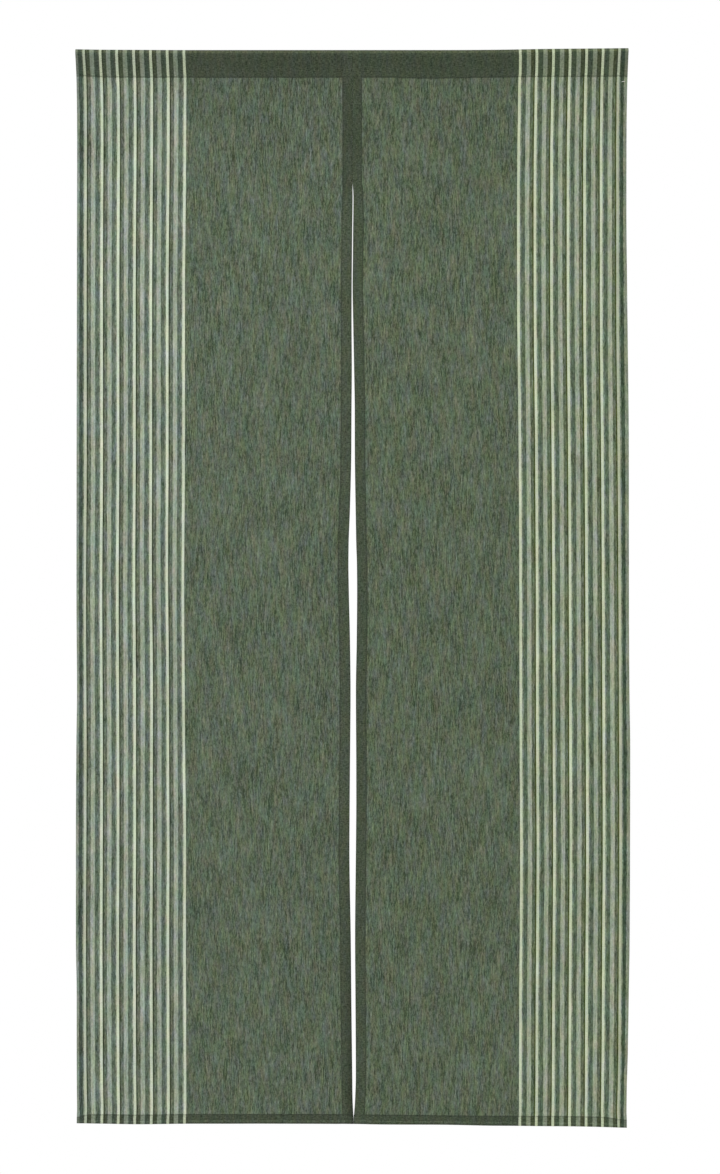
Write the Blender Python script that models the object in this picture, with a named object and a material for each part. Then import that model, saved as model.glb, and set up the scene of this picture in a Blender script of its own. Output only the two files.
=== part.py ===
"""A split doorway curtain of two cloth panels, hanging as it does from a rod through its heading.

Each panel is one length of cloth with a selvedge down its outer side. Its top is turned to the back
and stitched down as a rod pocket, its foot and its inner side are hemmed, and the two panels are
seamed together for a short way below the top. From there a slit runs to the foot.

Metres, +Z up. The front faces -Y. The origin is the middle of the top edge, on the centre line.
"""

import math
from collections import namedtuple

import bmesh
import bpy

# Cloth
LAYER = 0.0010          # one layer of cloth
HEM_LAYERS = 2          # a hem is this many layers thick
CLEARANCE = 0.0003      # between neighbouring pieces

# Heading
POCKET_DROP = 0.0440    # top edge to the stitching that closes the rod pocket
POCKET_STITCH = 0.0030  # width of the stitched strip along the foot of the pocket
POCKET_ROUND = 0.0140   # width of the round that the cloth keeps at the top of the pocket
ARC_STEPS = 12
HEADING_STATIONS = (0.0, 0.35, 0.65, 0.85, 1.0)    # share of the way from the seam to the selvedge

# Panels
HALF_WIDTH = 0.4300     # seam to selvedge
SLIT_HEM = 0.0160
FOOT_HEM = 0.0155
HEM_STEP = 0.0006       # the cloth goes from one layer to two over this distance
SEAM_FOOT = 0.2080      # the slit starts here, below the top edge
SLIT_EASE = 0.2600      # the panels hang free of each other this far below the seam
SEAM_REACH = 0.0600     # the seam holds the cloth flat this far to each side
FIELD_COLUMNS = 15
FIELD_ROWS = 26
SIDES = {"left": -1, "right": 1}

# Where the edges of the cloth lie across the curtain, at each drop below the top edge
Level = namedtuple("Level", "drop left_selvedge left_slit right_slit right_selvedge")
LEVELS = (
    Level(0.000, -0.4324, 0.0000, 0.0000, 0.4313),
    Level(0.044, -0.4307, 0.0000, 0.0000, 0.4295),
    Level(0.156, -0.4295, 0.0000, 0.0000, 0.4281),
    Level(0.208, -0.4295, 0.0000, 0.0000, 0.4279),
    Level(0.390, -0.4299, -0.0010, 0.0010, 0.4285),
    Level(0.624, -0.4302, -0.0017, 0.0042, 0.4315),
    Level(0.718, -0.4304, -0.0039, 0.0055, 0.4316),
    Level(0.796, -0.4306, -0.0064, 0.0073, 0.4317),
    Level(0.998, -0.4299, -0.0031, 0.0059, 0.4323),
    Level(1.248, -0.4313, -0.0048, 0.0059, 0.4332),
    Level(1.388, -0.4313, -0.0023, 0.0045, 0.4327),
    Level(1.576, -0.4301, -0.0004, 0.0050, 0.4296),
    Level(1.638, -0.4296, 0.0003, 0.0044, 0.4275),
    Level(1.660, -0.4298, 0.0016, 0.0023, 0.4281),
    Level(1.684, -0.4300, 0.0018, 0.0018, 0.4281),
)

# How far the cloth stands up above the line of the rod, and how far down it reaches
Edge = namedtuple("Edge", "across rise foot")
EDGES = (
    Edge(-0.430, 0.0012, 1.6752),
    Edge(-0.330, 0.0000, 1.6757),
    Edge(0.000, 0.0000, 1.6757),
    Edge(0.200, 0.0000, 1.6785),
    Edge(0.300, 0.0018, 1.6800),
    Edge(0.430, 0.0030, 1.6812),
)

# Soft upright folds: where each one crosses the heading and the foot, its half width, and how far it
# stands towards the back halfway down and at the foot (towards the front where negative)
Fold = namedtuple("Fold", "side top foot half_width halfway low")
FOLDS = (
    Fold("left", -0.425, -0.430, 0.028, 0.0012, 0.0030),
    Fold("left", -0.350, -0.335, 0.050, -0.0018, -0.0042),
    Fold("left", -0.235, -0.255, 0.058, 0.0024, 0.0046),
    Fold("left", -0.115, -0.095, 0.050, -0.0020, -0.0034),
    Fold("left", -0.002, -0.002, 0.026, 0.0046, 0.0012),
    Fold("right", 0.004, 0.002, 0.030, -0.0034, 0.0012),
    Fold("right", 0.105, 0.125, 0.056, 0.0026, 0.0040),
    Fold("right", 0.230, 0.222, 0.050, -0.0022, -0.0046),
    Fold("right", 0.335, 0.352, 0.050, 0.0018, 0.0036),
    Fold("right", 0.428, 0.430, 0.026, -0.0010, -0.0028),
)

# Finish of each piece: colour, as linear red, green and blue
FIELD_GREEN = (0.105, 0.133, 0.092, 1.0)
HEADING_GREEN = (0.053, 0.067, 0.045, 1.0)
CLOTH_ROUGHNESS = 0.9


def clear_scene():
    for item in list(bpy.data.objects):
        bpy.data.objects.remove(item)


def cloth_finish(name, colour):
    finish = bpy.data.materials.new(name)
    finish.use_nodes = True
    shader = finish.node_tree.nodes["Principled BSDF"]
    shader.inputs["Base Color"].default_value = colour
    shader.inputs["Roughness"].default_value = CLOTH_ROUGHNESS
    shader.inputs["Metallic"].default_value = 0.0
    return finish


def slope_at(points, i):
    """The slope of a smooth curve at a point: level at a peak, so that it never overshoots."""
    if i in (0, len(points) - 1):
        return 0.0
    (x0, y0), (x1, y1), (x2, y2) = points[i - 1 : i + 2]
    before, after = (y1 - y0) / (x1 - x0), (y2 - y1) / (x2 - x1)
    if before * after <= 0.0:
        return 0.0
    return 2.0 * before * after / (before + after)


def read_curve(points, x):
    """The height at x of the smooth curve through the points, which are pairs in rising x."""
    if x <= points[0][0]:
        return points[0][1]
    if x >= points[-1][0]:
        return points[-1][1]
    i = max(k for k in range(len(points) - 1) if points[k][0] <= x)
    (x0, y0), (x1, y1) = points[i], points[i + 1]
    span = x1 - x0
    t = (x - x0) / span
    start, end = slope_at(points, i) * span, slope_at(points, i + 1) * span
    return (
        y0 * (2 * t**3 - 3 * t**2 + 1)
        + start * (t**3 - 2 * t**2 + t)
        + y1 * (3 * t**2 - 2 * t**3)
        + end * (t**3 - t**2)
    )


def edge_across(side, edge, drop):
    """Where the selvedge or the slit edge of a panel lies at a drop below the top edge."""
    column = f"{side}_{edge}"
    return read_curve([(level.drop, getattr(level, column)) for level in LEVELS], drop)


def rise_at(across):
    return read_curve([(edge.across, edge.rise) for edge in EDGES], across)


def foot_at(across):
    return read_curve([(edge.across, edge.foot) for edge in EDGES], across)


def seam_hold(across, drop):
    """0 on the seam, where the panels are joined and flat, and 1 where the cloth hangs free."""
    freed = read_curve([(SEAM_FOOT, 0.0), (SEAM_FOOT + SLIT_EASE, 1.0)], drop)
    return 1.0 - (1.0 - freed) * math.exp(-((across / SEAM_REACH) ** 2))


def fold_depth(side, across, drop):
    """How far the folds carry the cloth towards the back at a place on a panel."""
    foot = foot_at(across)
    way_down = (drop - POCKET_DROP) / (foot - POCKET_DROP)
    depth = 0.0
    for fold in FOLDS:
        if fold.side != side:
            continue
        centre = fold.top + (fold.foot - fold.top) * way_down
        reach = read_curve([(0.0, 0.0), (0.5, fold.halfway), (1.0, fold.low)], way_down)
        depth += reach * math.exp(-(((across - centre) / fold.half_width) ** 2))
    return depth * seam_hold(across, drop)


def panel_columns():
    """Across the panel: the share of its field, the distance from the slit edge, and the layers."""
    field = [(k / FIELD_COLUMNS, SLIT_HEM + HEM_STEP, 1) for k in range(FIELD_COLUMNS, -1, -1)]
    return field + [(0.0, SLIT_HEM, HEM_LAYERS), (0.0, 0.0, HEM_LAYERS)]


def panel_rows():
    """Down the panel: the share of its field, the height above the foot, and the layers."""
    field = [(k / FIELD_ROWS, FOOT_HEM + HEM_STEP, 1) for k in range(FIELD_ROWS + 1)]
    return field + [(1.0, FOOT_HEM, HEM_LAYERS), (1.0, 0.0, HEM_LAYERS)]


def panel_point(side, column, row):
    """A point on the front of a panel."""
    sign = SIDES[side]
    share, from_slit, _ = column
    down, above_foot, _ = row
    nominal = sign * (from_slit + share * (HALF_WIDTH - from_slit))
    top = POCKET_DROP + CLEARANCE
    drop = top + down * (foot_at(nominal) - above_foot - top)
    slit = edge_across(side, "slit", drop) + sign * CLEARANCE / 2
    selvedge = edge_across(side, "selvedge", drop)
    field_start = slit + sign * from_slit
    across = field_start + share * (selvedge - field_start)
    return across, fold_depth(side, across, drop) - LAYER, -drop


def add_object(name, mesh_data, colour):
    bmesh.ops.recalc_face_normals(mesh_data, faces=mesh_data.faces)
    bmesh.ops.triangulate(mesh_data, faces=mesh_data.faces)
    mesh = bpy.data.meshes.new(name)
    mesh_data.to_mesh(mesh)
    mesh_data.free()
    mesh.materials.append(cloth_finish(f"{name}_cloth", colour))
    mesh.shade_smooth()
    mesh.set_sharp_from_angle(angle=math.radians(40))
    piece = bpy.data.objects.new(name, mesh)
    bpy.context.scene.collection.objects.link(piece)
    return piece


def make_panel(side):
    """The front of the cloth is a grid, which is then extruded to the back by its layers."""
    columns, rows = panel_columns(), panel_rows()
    work = bmesh.new()
    layers = work.verts.layers.float.new("layers")
    grid = []
    for row in rows:
        line = []
        for column in columns:
            vertex = work.verts.new(panel_point(side, column, row))
            vertex[layers] = max(column[2], row[2])
            line.append(vertex)
        grid.append(line)
    for upper, lower in zip(grid, grid[1:]):
        for k in range(len(columns) - 1):
            work.faces.new((upper[k], upper[k + 1], lower[k + 1], lower[k]))
    made = bmesh.ops.extrude_face_region(work, geom=work.faces[:], use_keep_orig=True)
    for vertex in made["geom"]:
        if isinstance(vertex, bmesh.types.BMVert):
            vertex.co.y += LAYER * vertex[layers]
    return add_object(f"panel_{side}", work, FIELD_GREEN)


def teardrop(radius, half_foot, foot_drop, rise):
    """A line up from the foot, over a round and down again, as (depth, drop) points, front first."""
    centre_drop = POCKET_ROUND / 2 + LAYER - rise
    fall = foot_drop - centre_drop
    reach = math.hypot(half_foot, fall)
    tangent = math.atan2(half_foot, fall) + math.acos(radius / reach)
    points = [(-half_foot, foot_drop)]
    for k in range(ARC_STEPS + 1):
        turn = -tangent - (2 * math.pi - 2 * tangent) * k / ARC_STEPS
        points.append((radius * math.sin(turn), centre_drop + radius * math.cos(turn)))
    points.append((half_foot, foot_drop))
    return points


def heading_ring(work, side, share):
    """The section of the rod pocket at one place along it: its outer and inner vertices."""
    sign = SIDES[side]
    rise = rise_at(sign * HALF_WIDTH * share)
    outer = teardrop(POCKET_ROUND / 2 + LAYER, LAYER, POCKET_DROP, rise)
    inner = teardrop(POCKET_ROUND / 2, 0.0, POCKET_DROP - POCKET_STITCH, rise)

    def place(depth, drop):
        seam = sign * CLEARANCE / 2
        across = seam + share * (edge_across(side, "selvedge", drop) - seam)
        return work.verts.new((across, depth, -drop))

    outer_ring = [place(*point) for point in outer]
    inner_ring = [place(*point) for point in inner[:-1]]
    return outer_ring, inner_ring + inner_ring[:1]


def make_heading(side):
    """The rod pocket: a sleeve of one layer, closed along its foot by the stitched strip."""
    work = bmesh.new()
    rings = [heading_ring(work, side, share) for share in HEADING_STATIONS]
    for (outer, inner), (next_outer, next_inner) in zip(rings, rings[1:]):
        for k in range(len(outer) - 1):
            work.faces.new((outer[k], outer[k + 1], next_outer[k + 1], next_outer[k]))
            work.faces.new((inner[k + 1], inner[k], next_inner[k], next_inner[k + 1]))
        work.faces.new((outer[-1], outer[0], next_outer[0], next_outer[-1]))
    for outer, inner in (rings[0], rings[-1]):
        for k in range(len(outer) - 1):
            work.faces.new((outer[k], inner[k], inner[k + 1], outer[k + 1]))
        work.faces.new((outer[0], outer[-1], inner[0]))
    return add_object(f"heading_{side}", work, HEADING_GREEN)


def build():
    clear_scene()
    for side in SIDES:
        make_heading(side)
        make_panel(side)


build()
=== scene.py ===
"""Looks of a split doorway curtain: yarn-dyed cloth panels, their hems and their sewing.

Metres, +Z up. The front faces -Y, and the origin is the middle of the top edge. A drop is a distance
below the top edge, and a depth is a distance towards the back.
"""

import math
from collections import namedtuple
from types import SimpleNamespace

import bpy
import numpy as np
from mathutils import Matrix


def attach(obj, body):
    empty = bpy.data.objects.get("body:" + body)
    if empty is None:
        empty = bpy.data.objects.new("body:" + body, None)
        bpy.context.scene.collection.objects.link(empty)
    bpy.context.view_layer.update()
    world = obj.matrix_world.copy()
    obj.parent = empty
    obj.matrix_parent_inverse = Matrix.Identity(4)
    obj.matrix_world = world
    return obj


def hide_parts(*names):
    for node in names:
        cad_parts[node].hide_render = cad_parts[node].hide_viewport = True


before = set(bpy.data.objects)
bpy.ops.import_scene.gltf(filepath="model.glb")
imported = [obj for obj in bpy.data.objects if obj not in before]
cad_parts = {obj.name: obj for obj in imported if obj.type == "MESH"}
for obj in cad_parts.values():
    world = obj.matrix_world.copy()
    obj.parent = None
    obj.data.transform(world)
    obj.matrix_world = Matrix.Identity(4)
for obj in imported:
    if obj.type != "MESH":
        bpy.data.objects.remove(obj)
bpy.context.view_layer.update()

# Cloth
CLOTH = 0.00050  # thickness of the cloth
SOLID_LAYER = 0.0010  # the solids' front lies this far before the hanging plane
STACK = 0.00062  # from the middle of one layer to the middle of the next, in a hem
SEAM_GAP = 0.00002  # between the folded edges of the two panels where they meet

# Heading
POCKET_DROP = 0.0440  # top edge to the foot of the rod pocket's solid
POCKET_ROUND = 0.0160  # outside width of the round at the top of the pocket
POCKET_TURN = 0.0080  # cloth turned under inside the pocket's back edge
TURN_BEND = 0.0100  # that cloth leans with the pocket's back over this height
STITCH_INSET = 0.0020  # from the pocket's turned edge to its stitches

# Panels
SEAM_FOOT = 0.2080  # the slit starts here
SLIT_EASE = 0.2600  # the panels hang free of each other this far below the seam
SEAM_REACH = 0.0600  # the seam holds the cloth flat this far to each side
TURNING = 0.0168  # the slit hem's width on the flat cloth
TURN_OPEN = 0.0500  # below the seam, its turnings reach the slit hem's width over this drop
HEM_STEP = 0.0070  # a turned-up hem thickens over this width on its way to the slit hem
FIELD_GAP = 0.0010  # from the last row of the field to the foot hem
FOOT_TURN = 0.0095  # cloth turned under inside the foot hem
PANEL_LENGTH = 1.6340  # heading stitches to the foot, along the cloth
FOOT_HEM = 0.0155  # height of the foot hem on the flat cloth
FOOT_STITCH = 0.0012  # from the foot hem's upper edge to its stitches
STITCH_EDGE = 0.0015  # from the slit hem's turned edge to its stitches
TOP_LINE = 0.0031  # from the top edge to its crease, where a highlight is painted
FOOT_LINE = 0.0043  # from the foot to its crease, where a highlight is painted

# The panels: which way each lies from the centre, its width on the flat cloth, the widths that its
# turned edge shows beside the seam and beside the slit, the width of its pale selvedge, the middle of
# its first cream stripe, and a number that makes its yarns its own
Panel = namedtuple("Panel", "name sign width seam_turning slit_hem selvedge first_cream seed")
PANELS = (
    Panel("left", -1, 0.4297, 0.0157, 0.0172, 0.0038, 0.0131, 3.0),
    Panel("right", 1, 0.4278, 0.0150, 0.0165, 0.0051, 0.0140, 57.0),
)
STRIPE_PERIOD = 0.02583
LAST_CREAM = 6  # stripe periods from the first cream stripe to the last

# Where the selvedges and each panel's first and last cream stripes lie across the curtain
Level = namedtuple("Level", "drop left_selvedge left_first left_last right_last right_first right_selvedge")
LEVELS = [Level(*row) for row in (
    (0.000, -0.4318, -0.4190, -0.2625, 0.2616, 0.4166, 0.4306),
    (0.012, -0.4314, -0.4186, -0.2622, 0.2619, 0.4162, 0.4302),
    (0.034, -0.4307, -0.4177, -0.2615, 0.2620, 0.4154, 0.4297),
    (0.047, -0.4303, -0.4170, -0.2609, 0.2610, 0.4146, 0.4292),
    (0.094, -0.4295, -0.4164, -0.2611, 0.2606, 0.4143, 0.4282),
    (0.156, -0.4293, -0.4162, -0.2613, 0.2596, 0.4138, 0.4278),
    (0.250, -0.4295, -0.4165, -0.2621, 0.2591, 0.4140, 0.4277),
    (0.390, -0.4297, -0.4167, -0.2632, 0.2593, 0.4140, 0.4290),
    (0.624, -0.4302, -0.4165, -0.2633, 0.2615, 0.4159, 0.4314),
    (0.858, -0.4304, -0.4176, -0.2647, 0.2626, 0.4174, 0.4316),
    (0.998, -0.4296, -0.4171, -0.2640, 0.2628, 0.4180, 0.4323),
    (1.092, -0.4307, -0.4168, -0.2632, 0.2630, 0.4184, 0.4335),
    (1.248, -0.4314, -0.4172, -0.2616, 0.2638, 0.4187, 0.4332),
    (1.400, -0.4314, -0.4178, -0.2619, 0.2630, 0.4178, 0.4324),
    (1.466, -0.4302, -0.4176, -0.2617, 0.2624, 0.4175, 0.4313),
    (1.560, -0.4302, -0.4173, -0.2614, 0.2621, 0.4170, 0.4298),
    (1.626, -0.4299, -0.4166, -0.2612, 0.2620, 0.4158, 0.4279),
    (1.656, -0.4296, -0.4159, -0.2613, 0.2618, 0.4149, 0.4276),
    (1.666, -0.4301, -0.4164, -0.2620, 0.2613, 0.4153, 0.4280),
    (1.685, -0.4302, -0.4166, -0.2622, 0.2611, 0.4155, 0.4281),
)]

# Where the two edges of the slit lie. They meet along the seam above it and at the foot.
Slit = namedtuple("Slit", "drop left right")
SLIT = [Slit(*row) for row in (
    (0.0000, 0.0002, 0.0002),
    (0.2070, 0.0002, 0.0002),
    (0.2246, 0.0006, 0.0017),
    (0.2500, 0.0004, 0.0016),
    (0.2810, -0.0001, 0.0012),
    (0.3200, -0.0005, 0.0009),
    (0.3670, -0.0009, 0.0004),
    (0.4210, -0.0011, 0.0013),
    (0.4990, -0.0007, 0.0028),
    (0.5620, -0.0012, 0.0038),
    (0.6240, -0.0015, 0.0039),
    (0.7180, -0.0037, 0.0052),
    (0.7720, -0.0057, 0.0062),
    (0.8030, -0.0060, 0.0072),
    (0.8420, -0.0054, 0.0075),
    (0.9200, -0.0036, 0.0069),
    (1.0000, -0.0027, 0.0056),
    (1.1080, -0.0035, 0.0061),
    (1.1700, -0.0040, 0.0062),
    (1.2480, -0.0044, 0.0056),
    (1.3880, -0.0023, 0.0043),
    (1.4820, -0.0014, 0.0049),
    (1.5990, 0.0000, 0.0055),
    (1.6380, 0.0005, 0.0043),
    (1.6590, 0.0015, 0.0028),
    (1.6670, 0.0018, 0.0019),
    (1.6850, 0.0018, 0.0018),
)]

# How far the cloth stands up above the line of the rod, how far down the rod pocket's turned edge
# lies, how high the foot hem stands, and how far down the foot reaches
Edge = namedtuple("Edge", "across rise band hem foot")
EDGES = [Edge(*row) for row in (
    (-0.430, 0.0012, 0.0418, 0.0095, 1.6750),
    (-0.415, 0.0010, 0.0420, 0.0140, 1.6750),
    (-0.390, 0.0006, 0.0434, 0.0151, 1.6750),
    (-0.330, 0.0003, 0.0438, 0.0153, 1.6755),
    (-0.260, 0.0000, 0.0438, 0.0153, 1.6759),
    (-0.100, 0.0000, 0.0438, 0.0154, 1.6747),
    (0.000, 0.0000, 0.0436, 0.0155, 1.6759),
    (0.060, 0.0000, 0.0439, 0.0155, 1.6767),
    (0.120, 0.0000, 0.0452, 0.0150, 1.6773),
    (0.170, 0.0001, 0.0444, 0.0151, 1.6774),
    (0.230, 0.0006, 0.0434, 0.0159, 1.6777),
    (0.300, 0.0018, 0.0428, 0.0162, 1.6792),
    (0.385, 0.0026, 0.0426, 0.0163, 1.6806),
    (0.430, 0.0030, 0.0424, 0.0124, 1.6811),
)]

# Soft upright folds: where each crosses the heading and the foot, its half width, and how far it stands
# towards the back halfway down and at the foot (towards the front where negative)
Fold = namedtuple("Fold", "top foot half_width halfway low")
FOLDS = {
    "left": [Fold(*row) for row in (
        (-0.425, -0.430, 0.028, 0.0012, 0.0030),
        (-0.350, -0.335, 0.050, -0.0018, -0.0042),
        (-0.235, -0.255, 0.058, 0.0024, 0.0046),
        (-0.115, -0.095, 0.050, -0.0020, -0.0034),
        (-0.002, -0.002, 0.026, 0.0046, 0.0012),
    )],
    "right": [Fold(*row) for row in (
        (0.004, 0.002, 0.030, -0.0034, 0.0012),
        (0.105, 0.125, 0.056, 0.0026, 0.0040),
        (0.230, 0.222, 0.050, -0.0022, -0.0046),
        (0.335, 0.352, 0.050, 0.0018, 0.0036),
        (0.428, 0.430, 0.026, -0.0010, -0.0028),
    )],
}

# Small pulls of the cloth sideways, which bend the stripes: where, how wide and tall, and how far
Pull = namedtuple("Pull", "across drop half_width half_height shift")
PULLS = [Pull(*row) for row in (
    (-0.367, 0.030, 0.026, 0.034, -0.0009),
    (-0.310, 0.975, 0.036, 0.170, 0.0021),
    (0.350, 0.040, 0.045, 0.050, 0.0006),
    (0.362, 1.655, 0.040, 0.050, 0.0010),
)]

# Uneven rows of puckers along the sewing: how deep they are, how long one is, over what run their
# rhythm drifts, where along the run that drift starts, and how fast they fade beside it
Pucker = namedtuple("Pucker", "depth wave drift start fade")
HEADING_PUCKER = Pucker(0.00016, 0.013, 0.041, 0.0, 0.010)
FOOT_PUCKER = Pucker(0.00028, 0.017, 0.052, 0.05, 0.014)
SLIT_PUCKER = Pucker(0.00018, 0.019, 0.060, 0.0, 0.010)

# Mesh steps
FIELD_COLUMNS = 80
HEM_COLUMNS = 5
FOLD_STEPS = 6
ROUND_STEPS = 16
RUN_STEPS = 9
PANEL_ROWS = 170
ROW_CROWDING = 0.96  # below 1, rows lie closer together towards the foot
SHARP_FROM = math.radians(65)


def cubic(t, start, start_slope, end, end_slope):
    """A smooth way from start to end, with the given slopes there, as t goes from 0 to 1."""
    return (
        start * (2 * t**3 - 3 * t**2 + 1)
        + start_slope * (t**3 - 2 * t**2 + t)
        + end * (3 * t**2 - 2 * t**3)
        + end_slope * (t**3 - t**2)
    )


class Curve:
    """A smooth curve through points in rising x, level at its peaks, so that it never overshoots."""

    def __init__(self, points):
        self.x, self.y = (np.array(column, float) for column in zip(*points))
        span = np.diff(self.x)
        slope = np.diff(self.y) / span
        self.slope = np.zeros(len(self.x))
        same = slope[:-1] * slope[1:] > 0
        both = slope[:-1] + slope[1:]
        self.slope[1:-1][same] = (2 * slope[:-1] * slope[1:])[same] / both[same]

    def __call__(self, x):
        x = np.clip(x, self.x[0], self.x[-1])
        i = np.clip(np.searchsorted(self.x, x, side="right") - 1, 0, len(self.x) - 2)
        span = self.x[i + 1] - self.x[i]
        t = (x - self.x[i]) / span
        return cubic(t, self.y[i], self.slope[i] * span, self.y[i + 1], self.slope[i + 1] * span)


def curve_of(table, column):
    """A column of a table as a curve over the table's first column."""
    return Curve([(row[0], getattr(row, column)) for row in table])


SELVEDGE, FIRST, LAST, SLIT_EDGE = (
    {panel.name: curve_of(table, panel.name + mark) for panel in PANELS}
    for table, mark in ((LEVELS, "_selvedge"), (LEVELS, "_first"), (LEVELS, "_last"), (SLIT, ""))
)
RISE, BAND, HEM, FOOT = (curve_of(EDGES, column) for column in ("rise", "band", "hem", "foot"))
FREED = Curve([(SEAM_FOOT, 0.0), (SEAM_FOOT + SLIT_EASE, 1.0)])


def bell(distance, half_width):
    return np.exp(-((distance / half_width) ** 2))


def fold_depth(panel, across, drop):
    """How far the soft folds carry the cloth towards the back."""
    way_down = np.clip((drop - POCKET_DROP) / (FOOT(across) - POCKET_DROP), 0, 1)
    depth = np.zeros(np.broadcast(across, drop).shape)
    for fold in FOLDS[panel.name]:
        centre = fold.top + (fold.foot - fold.top) * way_down
        reach = Curve([(0.0, 0.0), (0.5, fold.halfway), (1.0, fold.low)])(way_down)
        depth += reach * bell(across - centre, fold.half_width)
    held = (1 - FREED(drop)) * bell(across, SEAM_REACH)
    return depth * (1 - held)


def puckered(pucker, along, beside):
    """The height of the small waves that sewing leaves in cloth, at a distance beside the sewing."""
    along = along + pucker.start
    wander = 1.9 * np.sin(along / pucker.drift) + 1.3 * np.sin(along / (0.37 * pucker.drift) + 1.0)
    wave = np.sin(2 * math.pi * along / pucker.wave + wander)
    return pucker.depth * wave * np.exp(-np.abs(beside) / pucker.fade)


def sewn_puckers(panel, across, drop):
    """Puckers along the heading stitches, the foot hem and the slit hem, fading into the field."""
    from_slit = np.abs(across - SLIT_EDGE[panel.name](drop))
    heading = puckered(HEADING_PUCKER, across, drop - POCKET_DROP)
    foot = puckered(FOOT_PUCKER, across, drop - (FOOT(across) - HEM(across)))
    slit_hem = puckered(SLIT_PUCKER, drop, from_slit - TURNING)
    return (heading + foot) * np.clip(from_slit / TURNING, 0, 1) + slit_hem * FREED(drop)


def front_depth(panel, across, drop):
    """The depth of the middle of the front layer of cloth."""
    plane = CLOTH / 2 - SOLID_LAYER
    return plane + fold_depth(panel, across, drop) + sewn_puckers(panel, across, drop)


def pulled(across, drop):
    """How far small pulls shift the cloth sideways."""
    return sum(
        pull.shift * bell(across - pull.across, pull.half_width) * bell(drop - pull.drop, pull.half_height)
        for pull in PULLS
    )


def steps(start, end, count, ends=True):
    return np.linspace(start, end, count, endpoint=ends)


class Columns:
    """The columns of a panel's mesh, from the selvedge to the slit edge, round it and back.

    u: the place on the flat cloth. inset: the distance from the slit edge as a share of the hem.
    lift: how far the turned cloth lies behind the front layer. layers: how many layers lie between
    the front and a turned-up hem.
    """

    def __init__(self, panel):
        self.panel = panel
        radius = STACK / 2
        edge = radius / TURNING
        self.field_width = panel.width - TURNING
        field = steps(0, self.field_width, FIELD_COLUMNS, ends=False)
        front = steps(1, edge, HEM_COLUMNS, ends=False)
        turn = steps(0, math.pi, FOLD_STEPS + 1)
        back = steps(edge, 1, HEM_COLUMNS + 1)[1:]
        one, zero = np.ones_like(field), np.zeros(len(field) + len(front))
        self.inset = np.concatenate((one, front, edge * (1 - np.sin(turn)), back))
        self.lift = np.concatenate((zero, radius * (1 - np.cos(turn)), STACK + 0 * back))
        fold_start = panel.width - radius
        turned_u = fold_start + math.pi * radius + TURNING * (back - edge)
        front_u = panel.width - TURNING * front
        self.u = np.concatenate((field, front_u, fold_start + radius * turn, turned_u))
        self.cloth_width = self.u[-1]
        near_hem = np.clip(1 - (self.field_width - self.u) / HEM_STEP, 0, 1)
        self.layers = 1 + near_hem**2 * (3 - 2 * near_hem)
        self.nominal = panel.sign * np.clip(panel.width - self.u, 0, None)

    def across(self, drop):
        """Where the columns lie at each drop, as rows of drops by columns."""
        panel = self.panel
        slit = SLIT_EDGE[panel.name](drop) + panel.sign * (SEAM_GAP + CLOTH) / 2
        hem = turned_width(panel, drop)
        first_u = panel.first_cream
        last_u = first_u + LAST_CREAM * STRIPE_PERIOD
        places = (
            (0.0, SELVEDGE[panel.name](drop)),
            (first_u, FIRST[panel.name](drop)),
            (last_u, LAST[panel.name](drop)),
            (self.field_width, slit + panel.sign * hem),
        )
        across = slit + panel.sign * hem * self.inset
        for (start_u, start), (end_u, end) in zip(places, places[1:]):
            share = (self.u - start_u) / (end_u - start_u)
            between = (share >= 0) & (share < 1)
            across = np.where(between, start + (end - start) * share, across)
        return across


def turned_width(panel, drop):
    """The width of the turned edge beside the seam and the slit."""
    opened = np.clip((drop - SEAM_FOOT) / TURN_OPEN, 0, 1)
    return panel.seam_turning + (panel.slit_hem - panel.seam_turning) * opened


def bent_run(start, start_way, end, end_way):
    """The points between start and end, on a run that sets off and arrives in the given directions."""
    t = steps(0, 1, RUN_STEPS + 1)[1:-1, None]
    length = np.hypot(end[0] - start[0], end[1] - start[1])
    return [cubic(t, start[k], start_way[k] * length, end[k], end_way[k] * length) for k in (0, 1)]


def heading_path(layers, rise, stitch):
    """The section of the rod pocket, as (depths, drops) in rows of points by columns of the panel.

    It runs from the raw edge inside the pocket down to the turned edge at its foot, up the back,
    over the round and down the front to the stitches. Depths are from the middle of the front layer.
    """
    radius = (POCKET_ROUND - CLOTH) / 2
    middle = SOLID_LAYER - CLOTH / 2
    centre = (middle + 0 * layers, POCKET_ROUND / 2 - rise)
    fall = stitch - centre[1]
    tangent = np.arccos(radius / fall)

    def on_round(turn):
        return centre[0] + radius * np.sin(turn), centre[1] + radius * np.cos(turn)

    stitched = (0 * layers, stitch)
    fold_radius = (2 * layers - 1) * STACK / 2
    back_depth = (3 * layers - 1) * STACK
    back_foot = (back_depth, stitch + STITCH_INSET - fold_radius)

    turn = steps(math.pi, 0, FOLD_STEPS + 1)[:, None]
    fold = (
        back_depth - fold_radius + fold_radius * np.cos(turn),
        back_foot[1] + fold_radius * np.sin(turn),
    )
    back_round, front_round = on_round(tangent), on_round(-tangent)
    up_back = bent_run(back_foot, (0, -1), back_round, (np.cos(tangent), -np.sin(tangent)))
    share = steps(0, 1, ROUND_STEPS + 1)[:, None]
    over = on_round(tangent + (2 * math.pi - 2 * tangent) * share)
    down_front = bent_run(front_round, (np.cos(tangent), np.sin(tangent)), stitched, (0, 1))
    raw = steps(POCKET_TURN, 0, 4, ends=False)[:, None]
    lean = (back_round[0] - back_depth) / fall / 2
    under = (back_depth - 2 * fold_radius + lean * raw**2 / TURN_BEND, back_foot[1] - raw)
    parts = (under, fold, up_back, over, down_front, (stitched[0][None], stitched[1][None]))
    return [np.concatenate([part[k] + 0 * layers for part in parts]) for k in (0, 1)]


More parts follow.
